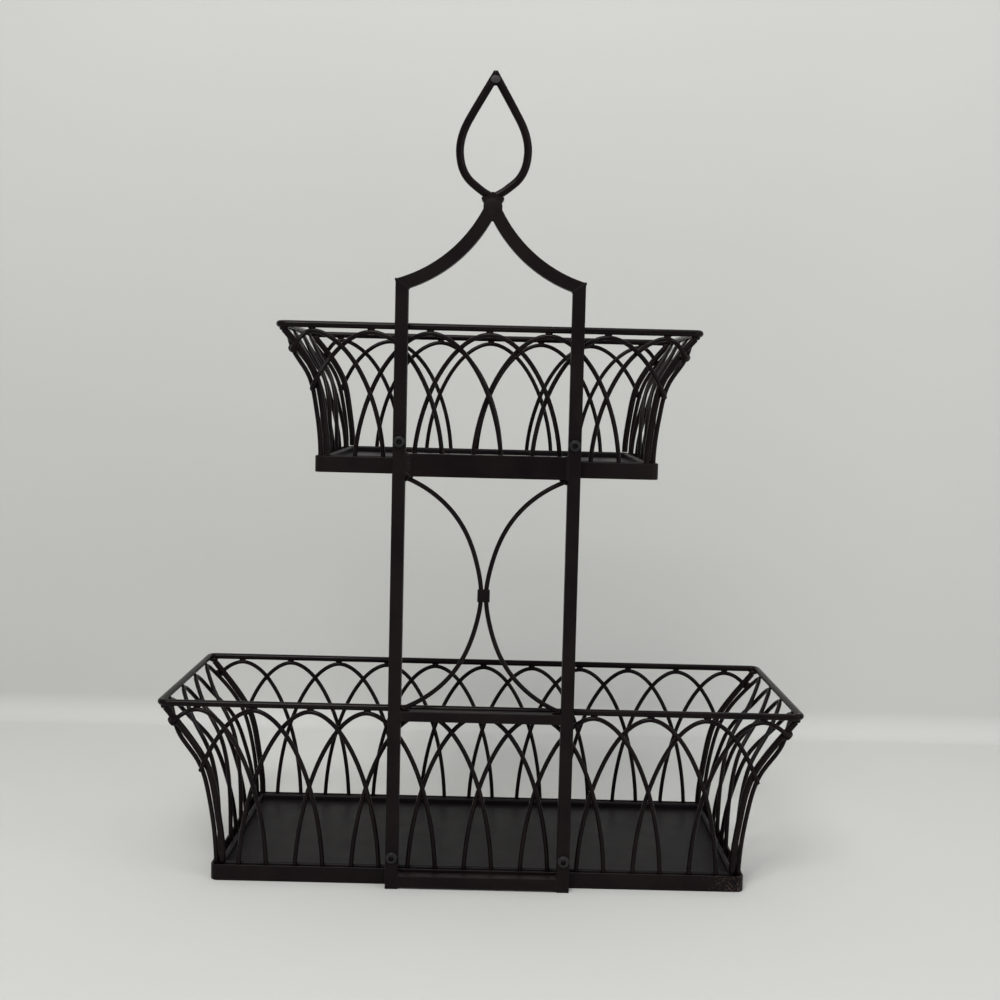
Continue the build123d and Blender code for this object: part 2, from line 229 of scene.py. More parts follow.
def wear_and_highlight_group() -> bpy.types.NodeTree:
    """Where a coat is worn along edges, broken up by noise: real wear, with a lighter colour that is
    also a painted edge highlight.

    Returns:
        A group with the inputs Reach and Amount and one output, the mask of worn edges and painted edge
        highlights.
    """
    tree = new_group("edge_wear_and_highlight", {"Reach": 0.0008, "Amount": 0.5}, "WearAndHighlight")
    given = tree.nodes["in"].outputs
    bevel = add_node(tree, "ShaderNodeBevel", {"Radius": given["Reach"]}, samples=4).outputs[0]
    normal = add_node(tree, "ShaderNodeNewGeometry").outputs["Normal"]
    turn = add_node(tree, "ShaderNodeVectorMath", {0: bevel, 1: normal}, operation="DOT_PRODUCT")
    edge = blend_range(tree, turn.outputs["Value"], low=0.985, high=0.80)
    grain = noise(tree, object_place(tree), scale=140.0, detail=5.0, rough=0.65)
    broken = blend_range(tree, grain, low=0.50, high=0.72)
    wear_and_highlight = maths(tree, "MULTIPLY", maths(tree, "MULTIPLY", edge, broken), given["Amount"], clamp=True)
    tree.links.new(wear_and_highlight, tree.nodes["out"].inputs["WearAndHighlight"])
    return tree


def dust_group() -> bpy.types.NodeTree:
    """Dust that settles on faces that look up.

    Returns:
        A group with the input Amount and the output Dust.
    """
    cloud_share, speck_share = 0.6, 0.8
    tree = new_group("settled_dust", {"Amount": 0.2}, "Dust")
    given = tree.nodes["in"].outputs
    place = object_place(tree)
    normal = add_node(tree, "ShaderNodeNewGeometry").outputs["Normal"]
    up = add_node(tree, "ShaderNodeSeparateXYZ", {0: normal}).outputs["Z"]
    facing = blend_range(tree, up, low=0.35, high=0.95)
    clouds = noise(tree, place, scale=16.0, detail=4.0, rough=0.6)
    clouds = maths(tree, "MULTIPLY", blend_range(tree, clouds, low=0.3, high=0.75), cloud_share)
    specks = noise(tree, place, scale=900.0, detail=1.0, rough=0.4)
    specks = maths(tree, "MULTIPLY", blend_range(tree, specks, low=0.66, high=0.74), speck_share)
    amount = maths(tree, "ADD", clouds, specks)
    dust = maths(tree, "MULTIPLY", maths(tree, "MULTIPLY", facing, amount), given["Amount"], clamp=True)
    tree.links.new(dust, tree.nodes["out"].inputs["Dust"])
    return tree


def chip_group() -> bpy.types.NodeTree:
    """Rusty chips that gather towards the right-hand end of a band.

    Returns:
        A group with the inputs From, To and Amount, along X in metres, and the output Chips.
    """
    sparse, gain, softness = 0.80, 0.27, 0.06
    tree = new_group("end_chips", {"From": 0.1, "To": 0.2, "Amount": 0.0}, "Chips")
    given = tree.nodes["in"].outputs
    place = object_place(tree)
    across = add_node(tree, "ShaderNodeSeparateXYZ", {0: place}).outputs["X"]
    near_end = blend_range(tree, across, given["From"], given["To"])
    grain = noise(tree, place, scale=520.0, detail=4.0, rough=0.72)
    threshold = maths(tree, "SUBTRACT", sparse, maths(tree, "MULTIPLY", near_end, gain))
    chips = blend_range(tree, grain, threshold, maths(tree, "ADD", threshold, softness))
    chips = maths(tree, "MULTIPLY", chips, given["Amount"], clamp=True)
    tree.links.new(chips, tree.nodes["out"].inputs["Chips"])
    return tree


def painted_recess_shade_group() -> bpy.types.NodeTree:
    """Painted shade where a surface lies sunk between others, as in a screw's socket: the colour darkens
    where ambient occlusion finds little light.

    Returns:
        A group with the inputs Reach, in metres, and Amount and one output, the mask of painted shade.
    """
    tree = new_group("painted_recess_shade_nodes", {"Reach": 0.002, "Amount": 0.0}, "PaintedRecessShade")
    given = tree.nodes["in"].outputs
    reach = {"Distance": given["Reach"]}
    shade = add_node(tree, "ShaderNodeAmbientOcclusion", reach, samples=8, only_local=True).outputs["AO"]
    sunk = blend_range(tree, shade, low=0.92, high=0.60)
    painted_recess_shade = maths(tree, "MULTIPLY", sunk, given["Amount"], clamp=True)
    tree.links.new(painted_recess_shade, tree.nodes["out"].inputs["PaintedRecessShade"])
    return tree


# Finishes


@dataclass(frozen=True)
class PowderCoat:
    """A satin powder coat over steel.

    Attributes:
        finish: Which finish it is.
        colour: The coat's colour.
        warm: The colour it drifts to in patches.
        wear_and_highlight_colour: The colour of worn edges, which is also lighter as a painted edge
            highlight.
        rusty: The colour of chips.
        dusty: The colour of dust.
        gloss: How strongly the coat mirrors its surroundings.
        roughness: How rough the coat is.
        peel: How deep the orange peel is, in metres.
        grit: How much fine grit there is.
        wear_and_highlight: How much of the edges is worn and lightened as a painted highlight.
        wear_and_highlight_reach: How far the wear and the painted edge highlight reach from an edge, in
            metres.
        dust: How much dust has settled.
        chip_from: Where along X the chips start, in metres.
        chip_to: Where along X they are thickest, in metres.
        chips: How many chips there are.
        painted_recess_shade: How much painted shade darkens sunk places.
        smear: How much the roughness varies over a face.
        worn_roughness: How much rougher dust and chips make the coat.
        chip_depth: How deep chips are, as a share of the orange peel.
    """

    finish: Finish
    colour: Colour = (0.0050, 0.0029, 0.0038)
    warm: Colour = (0.0092, 0.0056, 0.0058)
    wear_and_highlight_colour: Colour = (0.040, 0.030, 0.028)
    rusty: Colour = (0.058, 0.041, 0.033)
    dusty: Colour = (0.075, 0.072, 0.070)
    gloss: float = 0.10
    roughness: float = 0.42
    peel: float = 0.00007
    grit: float = 0.25
    wear_and_highlight: float = 0.5
    wear_and_highlight_reach: float = 0.0007
    dust: float = 0.12
    chip_from: float = 0.1
    chip_to: float = 0.2
    chips: float = 0.0
    painted_recess_shade: float = 0.0
    smear: float = 0.16
    worn_roughness: float = 0.35
    chip_depth: float = 0.8

    def material(self, groups: dict[str, bpy.types.NodeTree]) -> bpy.types.Material:
        """Builds the material.

        Args:
            groups: The shared shader groups by name.

        Returns:
            The finished material.
        """
        material = bpy.data.materials.new(self.finish.value)
        material.use_nodes = True
        tree = material.node_tree
        shader = tree.nodes["Principled BSDF"]
        place = object_place(tree)
        drift = noise(tree, place, scale=22.0, detail=4.0, rough=0.6)
        drift = blend_range(tree, drift, low=0.35, high=0.7)
        wear_and_highlight = place_group(tree, groups["wear_and_highlight"], Reach=self.wear_and_highlight_reach, Amount=self.wear_and_highlight)
        dust = place_group(tree, groups["dust"], Amount=self.dust)
        ends = {"From": self.chip_from, "To": self.chip_to}
        chips = place_group(tree, groups["chips"], **ends, Amount=self.chips)
        colour = mix_colours(tree, self.colour, self.warm, drift)
        # Worn edges, which are also lighter as a painted edge highlight.
        colour = mix_colours(tree, colour, self.wear_and_highlight_colour, wear_and_highlight)
        colour = mix_colours(tree, colour, self.rusty, chips)
        colour = mix_colours(tree, colour, self.dusty, dust)
        # Painted shade: sunk places darken towards black.
        if self.painted_recess_shade:
            painted_recess_shade = place_group(tree, groups["painted_recess_shade"], Amount=self.painted_recess_shade)
            colour = mix_colours(tree, colour, (0.0, 0.0, 0.0), painted_recess_shade)
        tree.links.new(colour, shader.inputs["Base Color"])
        smear = noise(tree, place, scale=45.0, detail=4.0, rough=0.55)
        rough = maths(tree, "MULTIPLY_ADD", smear, self.smear, self.roughness - self.smear / 2)
        rough = maths(tree, "MULTIPLY_ADD", dust, self.worn_roughness, rough)
        rough = maths(tree, "MULTIPLY_ADD", chips, self.worn_roughness, rough, clamp=True)
        tree.links.new(rough, shader.inputs["Roughness"])
        height = place_group(tree, groups["relief"], Peel=1.0, Grit=self.grit, Size=1.0)
        height = maths(tree, "SUBTRACT", height, maths(tree, "MULTIPLY", chips, self.chip_depth))
        relief = {"Height": height, "Distance": self.peel, "Strength": 1.0}
        bump = add_node(tree, "ShaderNodeBump", relief)
        tree.links.new(bump.outputs["Normal"], shader.inputs["Normal"])
        shader.inputs["Specular IOR Level"].default_value = self.gloss
        return material


@dataclass(frozen=True)
class WallPaint:
    """The plain finish of the floor and the wall behind.

    Attributes:
        name: The material's name.
        colour: The paint's colour.
        shade: How much darker its patches are, as a share of the colour.
        roughness: How rough the paint is.
        gloss: How strongly it mirrors its surroundings.
    """

    name: str
    colour: Colour
    shade: float = 0.94
    roughness: float = 0.75
    gloss: float = 0.25

    def material(self) -> bpy.types.Material:
        """Builds the material, with a faint unevenness."""
        material = bpy.data.materials.new(self.name)
        material.use_nodes = True
        tree = material.node_tree
        shader = tree.nodes["Principled BSDF"]
        cloud = noise(tree, object_place(tree), scale=3.0, detail=3.0, rough=0.5)
        darker = tuple(self.shade * part for part in self.colour)
        tree.links.new(mix_colours(tree, self.colour, darker, cloud), shader.inputs["Base Color"])
        shader.inputs["Roughness"].default_value = self.roughness
        shader.inputs["Specular IOR Level"].default_value = self.gloss
        self.open_far_side(tree, shader.outputs["BSDF"])
        return material

    def open_far_side(self, tree: bpy.types.NodeTree, surface: bpy.types.NodeSocket) -> None:
        """Lets a camera behind the wall see through it.

        Args:
            tree: The material's nodes.
            surface: What the near side shows.
        """
        far = add_node(tree, "ShaderNodeNewGeometry").outputs["Backfacing"]
        seen = add_node(tree, "ShaderNodeLightPath").outputs["Is Camera Ray"]
        clear = add_node(tree, "ShaderNodeBsdfTransparent").outputs[0]
        inputs = {0: maths(tree, "MULTIPLY", far, seen), 1: surface, 2: clear}
        mixed = add_node(tree, "ShaderNodeMixShader", inputs).outputs[0]
        tree.links.new(mixed, tree.nodes["Material Output"].inputs["Surface"])


@dataclass
class FinishShop:
    """Builds every finish once and puts it on pieces.

    Attributes:
        materials: The finished materials.
    """

    materials: dict[Finish, bpy.types.Material] = field(default_factory=dict)

    def build(self) -> None:
        """Builds the shared groups and all the coats."""
        groups = {
            "relief": peel_group(),
            "wear_and_highlight": wear_and_highlight_group(),
            "dust": dust_group(),
            "chips": chip_group(),
            "painted_recess_shade": painted_recess_shade_group(),
        }
        coats = (
            PowderCoat(Finish.FRAME, wear_and_highlight=0.45, dust=0.08),
            PowderCoat(
                Finish.LOWER_BAND, wear_and_highlight=0.55, dust=0.08, chip_from=0.148, chip_to=0.203, chips=0.9,
            ),
            PowderCoat(
                Finish.UPPER_BAND, wear_and_highlight=0.55, dust=0.08, chip_from=0.104, chip_to=0.142, chips=0.7,
            ),
            PowderCoat(
                Finish.TRAY, colour=(0.0060, 0.0045, 0.0056), warm=(0.0082, 0.0064, 0.0070), gloss=0.09,
                roughness=0.44, peel=0.00004, grit=0.15, wear_and_highlight=0.35, dust=0.06,
                chip_from=0.17, chip_to=0.235, chips=0.6,
            ),
            PowderCoat(
                Finish.WIRE, gloss=0.09, roughness=0.24, peel=0.00005, grit=0.2, wear_and_highlight=0.0, dust=0.03,
            ),
            PowderCoat(
                Finish.WELD, gloss=0.12, roughness=0.46, peel=0.00012, grit=0.5, wear_and_highlight=0.3, dust=0.05,
            ),
            PowderCoat(
                Finish.SCUFFED_WELD, roughness=0.5, peel=0.00014, grit=0.6, wear_and_highlight=0.6, dust=0.05,
                chip_from=0.0, chip_to=0.01, chips=0.9,
            ),
            PowderCoat(
                Finish.GROUND_WELD, colour=(0.034, 0.029, 0.031), warm=(0.026, 0.022, 0.023), gloss=0.3,
                roughness=0.48, peel=0.00003, grit=0.6, wear_and_highlight=0.6, dust=0.0,
            ),
            PowderCoat(
                Finish.SCREW, colour=(0.019, 0.018, 0.0185), warm=(0.027, 0.025, 0.025),
                # Light worn rim on the screw heads, which is also a painted highlight.
                wear_and_highlight_colour=(0.13, 0.12, 0.115), roughness=0.30, peel=0.00001, grit=0.5, wear_and_highlight=0.9, dust=0.0,
                # Painted shade in the screw sockets.
                painted_recess_shade=1.0,
            ),
        )
        for coat in coats:
            self.materials[coat.finish] = coat.material(groups)

    def dress(self, piece: bpy.types.Object, finish: Finish) -> None:
        """Puts one finish on a whole piece."""
        if not piece.material_slots:
            piece.data.materials.append(self.materials[finish])
        for slot in piece.material_slots:
            slot.material = self.materials[finish]


# Modelling helpers


def deselect() -> None:
    """Leaves nothing selected."""
    bpy.ops.object.select_all(action="DESELECT")


def only(piece: bpy.types.Object) -> None:
    """Selects one piece and makes it the active one."""
    deselect()
    piece.select_set(True)
    bpy.context.view_layer.objects.active = piece


def settle(piece: bpy.types.Object) -> None:
    """Writes a piece's place, turn and size into its mesh."""
    only(piece)
    bpy.ops.object.transform_apply(location=True, rotation=True, scale=True)


def smooth_but(piece: bpy.types.Object, angle: float) -> None:
    """Shades a piece smooth but for edges sharper than an angle in degrees."""
    only(piece)
    bpy.ops.object.shade_smooth_by_angle(angle=math.radians(angle))


def apply_modifier(piece: bpy.types.Object, kind: str, **settings) -> None:
    """Adds a modifier and applies it at once."""
    only(piece)
    modifier = piece.modifiers.new("step", kind)
    for key, value in settings.items():
        setattr(modifier, key, value)
    bpy.ops.object.modifier_apply(modifier=modifier.name)


def join(pieces: list[bpy.types.Object], name: str) -> bpy.types.Object:
    """Joins pieces into one object of a given name."""
    deselect()
    for piece in pieces:
        piece.select_set(True)
    bpy.context.view_layer.objects.active = pieces[0]
    if len(pieces) > 1:
        bpy.ops.object.join()
    joined = bpy.context.view_layer.objects.active
    joined.name = name
    joined.data.name = name
    settle(joined)
    return joined


def copy_to(piece: bpy.types.Object, place: Matrix) -> bpy.types.Object:
    """Copies a piece with its own mesh and puts the copy at a place."""
    only(piece)
    bpy.ops.object.duplicate(linked=False)
    twin = bpy.context.view_layer.objects.active
    twin.matrix_world = place @ twin.matrix_world
    settle(twin)
    return twin


@dataclass(frozen=True)
class Lump:
    """One ellipsoid of weld metal, in millimetres.

    Attributes:
        centre: Its middle.
        radii: Its half sizes along its own axes.
        turn: How far it is turned about Y, in degrees.
        pinch_from: From where along its own X it is pinched, as a share of its half size.
        pinch: How it is pinched there, along its own axes.
    """

    centre: Point
    radii: Point
    turn: float = 0.0
    pinch_from: ClassVar[float] = 0.5
    pinch: ClassVar[Point] = (1.0, 0.88, 0.9)

    def build(self) -> bpy.types.Object:
        """Builds the ellipsoid, a little pinched at one side so that no two sides match."""
        deselect()
        bpy.ops.mesh.primitive_ico_sphere_add(subdivisions=3, radius=1.0, location=(0, 0, 0))
        lump = bpy.context.active_object
        bpy.ops.object.mode_set(mode="EDIT")
        bpy.ops.mesh.select_all(action="DESELECT")
        bpy.ops.object.mode_set(mode="OBJECT")
        for vertex in lump.data.vertices:
            vertex.select = vertex.co.x > self.pinch_from
        bpy.ops.object.mode_set(mode="EDIT")
        bpy.ops.transform.resize(value=self.pinch)
        bpy.ops.mesh.select_all(action="SELECT")
        size = tuple(radius * MM for radius in self.radii)
        bpy.ops.transform.resize(value=size, center_override=(0, 0, 0))
        bpy.ops.object.mode_set(mode="OBJECT")
        lump.rotation_euler = (0.0, math.radians(self.turn), 0.0)
        lump.location = [part * MM for part in self.centre]
        settle(lump)
        return lump

    def across(self) -> "Lump":
        """The same lump on the other side of the stand."""
        x, y, z = self.centre
        return Lump((-x, y, z), self.radii, -self.turn)

    def behind(self) -> "Lump":
        """The same lump at the other long side of a basket."""
        x, y, z = self.centre
        return Lump((x, MIDDLE_Y * 2 - y, z), self.radii, self.turn)


def lumps_at(anchor: Point, *rows: tuple[Point, Point, float]) -> list[Lump]:
    """Lumps around a point.

    Args:
        anchor: The point.
        *rows: Each lump's offset from the point, its half sizes and its turn in degrees.

    Returns:
        The lumps.
    """
    lumps = []
    for offset, radii, turn in rows:
        centre = tuple(start + step for start, step in zip(anchor, offset))
        lumps.append(Lump(centre, radii, turn))
    return lumps


def ripple_row(start: Point, end: Point, radii: Point, step: float, turn: float = 0.0) -> list[Lump]:
    """A row of overlapping ripples from one point to another.

    Args:
        start: The first ripple's middle.
        end: The last ripple's middle.
        radii: A ripple's half sizes.
        step: The spacing between ripples.
        turn: How far each is turned about Y, in degrees.

    Returns:
        The lumps, each a little larger or smaller than the last.
    """
    swing, swing_step, swing_start = 0.10, 2.3, 0.7
    first, last = Vector(start), Vector(end)
    count = max(2, round((last - first).length / step) + 1)
    row = []
    for i in range(count):
        swell = 1.0 + swing * math.sin(swing_step * i + swing_start)
        middle = first.lerp(last, i / (count - 1))
        row.append(Lump(tuple(middle), tuple(radius * swell for radius in radii), turn))
    return row


def mirrored(lumps: list[Lump]) -> list[Lump]:
    """The same lumps on the other side of the stand."""
    return [lump.across() for lump in lumps]


def weld(name: str, lumps: list[Lump], voxel: float, rounds: int = 3) -> bpy.types.Object:
    """Melts lumps into one bead.

    Args:
        name: The bead's name.
        lumps: The lumps it is made of.
        voxel: How finely it is melted, in millimetres.
        rounds: How often it is smoothed.

    Returns:
        The bead, smooth all over.
    """
    bead = join([lump.build() for lump in lumps], name)
    apply_modifier(bead, "REMESH", mode="VOXEL", voxel_size=voxel * MM, use_smooth_shade=True)
    apply_modifier(bead, "SMOOTH", factor=0.5, iterations=rounds)
    only(bead)
    bpy.ops.object.shade_smooth()
    return bead


@dataclass
class Maker:
    """Makes pieces that are added to the stand.

    Attributes:
        shop: Where the finishes come from.
        slot: The material slot named for the pieces.
        built: The pieces that are made.
    """

    shop: FinishShop
    slot: ClassVar[Slot] = Slot.FRAME
    built: list[bpy.types.Object] = field(default_factory=list, kw_only=True)

    def keep(
        self, piece: bpy.types.Object, finish: Finish = Finish.WELD, slot: Slot | None = None
    ) -> None:
        """Dresses a piece and lets it ride on the stand.

        Args:
            piece: The piece.
            finish: Its finish.
            slot: Its material slot, where it isn't the maker's own; not used.
        """
        self.shop.dress(piece, finish)
        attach(piece, "root")
        self.built.append(piece)


# The frame's welds


@dataclass
class FrameWelds(Maker):
    """Weld beads on the upright frame.

    Attributes:
        rails: Each rail's name, its lowest and its highest point.
        proud: How far a ground bead stands out of the front faces.
    """

    rails: ClassVar[tuple[tuple[str, float, float], ...]] = (
        ("bottom", 1.2, 10.7), ("middle", 134.5, WINDOW_FOOT_Z), ("upper", WINDOW_TOP_Z, 344.8),
    )
    proud: ClassVar[float] = 0.25

    def rail_joints(self) -> None:
        """Beads down both ends of each rail, ground at the front and left round at the back."""
        x = INNER_FRAME - 0.15
        front_y, back_y = FRONT_Y + 0.35, BAR_BACK_Y - 0.5
        ground_depth = 0.35 + self.proud
        edge_x, edge_front_y, edge_back_y = x - 0.3, FRONT_Y + 1.3, BAR_BACK_Y - 1.3
        inset = 1.0
        for name, low, high in self.rails:
            foot, top = low + inset, high - inset
            row = ripple_row((x, front_y, foot), (x, front_y, top), (1.3, ground_depth, 1.3), 1.3)
            row += ripple_row((x, back_y, foot), (x, back_y, top), (1.9, 0.75, 1.3), 1.5)
            for z in (low, high):
                start, end = (edge_x, edge_front_y, z), (edge_x, edge_back_y, z)
                row += ripple_row(start, end, (1.2, 1.4, 0.55), 1.6)
            for side, lumps in (("right", row), ("left", mirrored(row))):
                self.keep(weld(f"{name}_rail_{side}_weld", lumps, VOXEL))

    def scalloped_seam(self) -> None:
        """The wide scalloped run on the upper rail's left joint, with its tail at the bottom."""
        x, y, foot = -INNER_FRAME, FRONT_Y, WINDOW_TOP_Z
        start, end = (x + 2.7, y + 0.25, foot + 15.8), (x + 2.7, y + 0.25, foot + 4.8)
        lumps = ripple_row(start, end, (1.7, 0.65, 1.35), 2.15)
        start, end = (x + 0.5, y + 0.3, foot + 15.2), (x + 0.5, y + 0.3, foot + 4.2)
        lumps += ripple_row(start, end, (1.5, 0.55, 1.6), 2.2)
        lumps += lumps_at(
            (x, y, foot),
            ((1.9, 0.3, 1.6), (2.6, 0.8, 1.5), 12.0),
            ((3.7, 0.6, 0.1), (1.5, 0.9, 1.0), 30.0),
        )
        self.keep(weld("upper_rail_scalloped_weld", lumps, FINE_VOXEL, rounds=2))

    def arc_ends(self) -> None:
        """Lumps where the two arcs meet the corners of the window."""
        upper = lumps_at(
            (INNER_FRAME, BAR_MIDDLE_Y, WINDOW_TOP_Z),
            ((-1.9, 0.0, -1.2), (2.3, 2.3, 1.5), 28.0),
            ((-0.8, -0.6, -2.5), (1.3, 2.0, 1.8), 0.0),
            ((-4.6, 0.3, -0.8), (1.8, 1.9, 1.0), 20.0),
        )
        lower = lumps_at(
            (INNER_FRAME, BAR_MIDDLE_Y, WINDOW_FOOT_Z),
            ((-2.1, 0.0, 1.2), (2.4, 2.3, 1.4), -26.0),
            ((-0.8, -0.5, 2.5), (1.3, 2.0, 1.8), 0.0),
            ((-5.0, 0.3, 0.8), (2.0, 1.9, 0.9), -18.0),
        )
        for name, lumps in (("upper", upper), ("lower", lower)):
            self.keep(weld(f"right_arc_{name}_weld", lumps, VOXEL))
            self.keep(weld(f"left_arc_{name}_weld", mirrored(lumps), VOXEL))

    def eave_joints(self) -> None:
        """Beads across the mitres at the top of the uprights and over their edges."""
        outer_x, outer_z = HALF_FRAME - 0.6, EAVE_Z + 3.0
        inner_x, inner_z = INNER_FRAME + 0.5, EAVE_Z - 2.9
        mitre = -36.0
        rows = []
        for y, depth in ((FRONT_Y + 0.3, 0.55), (BAR_BACK_Y - 0.3, 0.75)):
            start, end = (outer_x, y, outer_z), (inner_x, y, inner_z)
            rows += ripple_row(start, end, (1.3, depth, 1.0), 1.4, mitre)
        front_y, back_y = FRONT_Y + 1.6, BAR_BACK_Y - 1.6
        outer_edge = (outer_x + 0.3, outer_z, (0.9, 1.5, 1.4))
        inner_edge = (inner_x - 0.4, inner_z, (0.8, 1.5, 1.2))
        for x, z, radii in (outer_edge, inner_edge):
            rows += ripple_row((x, front_y, z), (x, back_y, z), radii, 1.6)
        self.keep(weld("right_eave_weld", rows, VOXEL))
        self.keep(weld("left_eave_weld", mirrored(rows), VOXEL))

    def ridge_joint(self) -> None:
        """The melted patches that join both roof bars to each other and to the finial's seat."""
        lumps = []
        for y in (FRONT_Y + 0.35, BAR_BACK_Y - 0.35):
            lumps += lumps_at(
                (0.0, y, RIDGE_Z),
                ((0.2, 0.0, 1.2), (7.6, 0.75, 6.6), 4.0),
                ((-0.2, 0.0, -3.2), (3.9, 0.75, 6.4), -3.0),
            )
        front_y, back_y = FRONT_Y + 1.2, BAR_BACK_Y - 1.2
        side_x, side_z = 6.3, RIDGE_Z + 0.1
        for x in (-side_x, side_x):
            lumps += ripple_row((x, front_y, side_z), (x, back_y, side_z), (0.7, 1.4, 1.3), 1.7)
        lumps += ripple_row((0, front_y, CROTCH_Z), (0, back_y, CROTCH_Z), (1.1, 1.4, 0.8), 1.7)
        self.keep(weld("ridge_weld", lumps, VOXEL))

    def seat_lumps(self) -> None:
        """Drops of weld on the wings and the peak of the finial's seat."""
        wing = lumps_at(
            SEAT_WING,
            ((0.2, -2.0, 0.1), (1.6, 2.4, 1.2), -20.0),
            ((0.4, 1.8, -0.3), (1.3, 2.2, 1.0), 10.0),
            ((-1.1, -0.5, 0.8), (1.6, 3.0, 1.0), -34.0),
        )
        self.keep(weld("right_seat_weld", wing, FINE_VOXEL, rounds=2))
        self.keep(weld("left_seat_weld", mirrored(wing), FINE_VOXEL, rounds=2))
        peak = lumps_at(
            SEAT_PEAK,
            ((0.1, -1.6, 0.0), (2.6, 2.6, 1.6), 0.0),
            ((-0.2, 1.8, -0.1), (2.5, 2.4, 1.5), 0.0),
            ((0.0, 0.0, 1.1), (1.2, 2.4, 0.9), 0.0),
        )
        self.keep(weld("seat_peak_weld", peak, FINE_VOXEL, rounds=2))

    def finial_tip(self) -> None:
        """The melted tip of the finial and the flat patch ground into its front."""
        tip = lumps_at(
            FINIAL_TIP,
            ((0.0, 0.0, 0.0), (3.3, 3.0, 4.0), 0.0),
            ((0.0, 0.0, -4.0), (2.6, 2.9, 2.8), 0.0),
        )
        self.keep(weld("finial_tip_weld", tip, COARSE_VOXEL))
        half_width, half_height, depth, edge = 3.75, 2.85, 0.9, 0.32
        x, y, z = FINIAL_TIP
        deselect()
        upright = (math.pi / 2, 0, 0)
        bpy.ops.mesh.primitive_cylinder_add(vertices=48, radius=1.0, depth=1.0, rotation=upright)
        patch = bpy.context.active_object
        patch.name = "finial_tip_patch"
        patch.scale = (half_width * MM, half_height * MM, depth * MM)
        patch.location = (x * MM, (y - 2.9) * MM, (z - 2.6) * MM)
        settle(patch)
        apply_modifier(patch, "BEVEL", width=edge * MM, segments=3, limit_method="ANGLE")
        smooth_but(patch, 40)
        self.keep(patch, Finish.GROUND_WELD)

    def build(self) -> None:
        """Builds every bead of the frame."""
        self.rail_joints()
        self.scalloped_seam()
        self.arc_ends()
        self.eave_joints()
        self.ridge_joint()
        self.seat_lumps()
        self.finial_tip()


# The baskets' welds


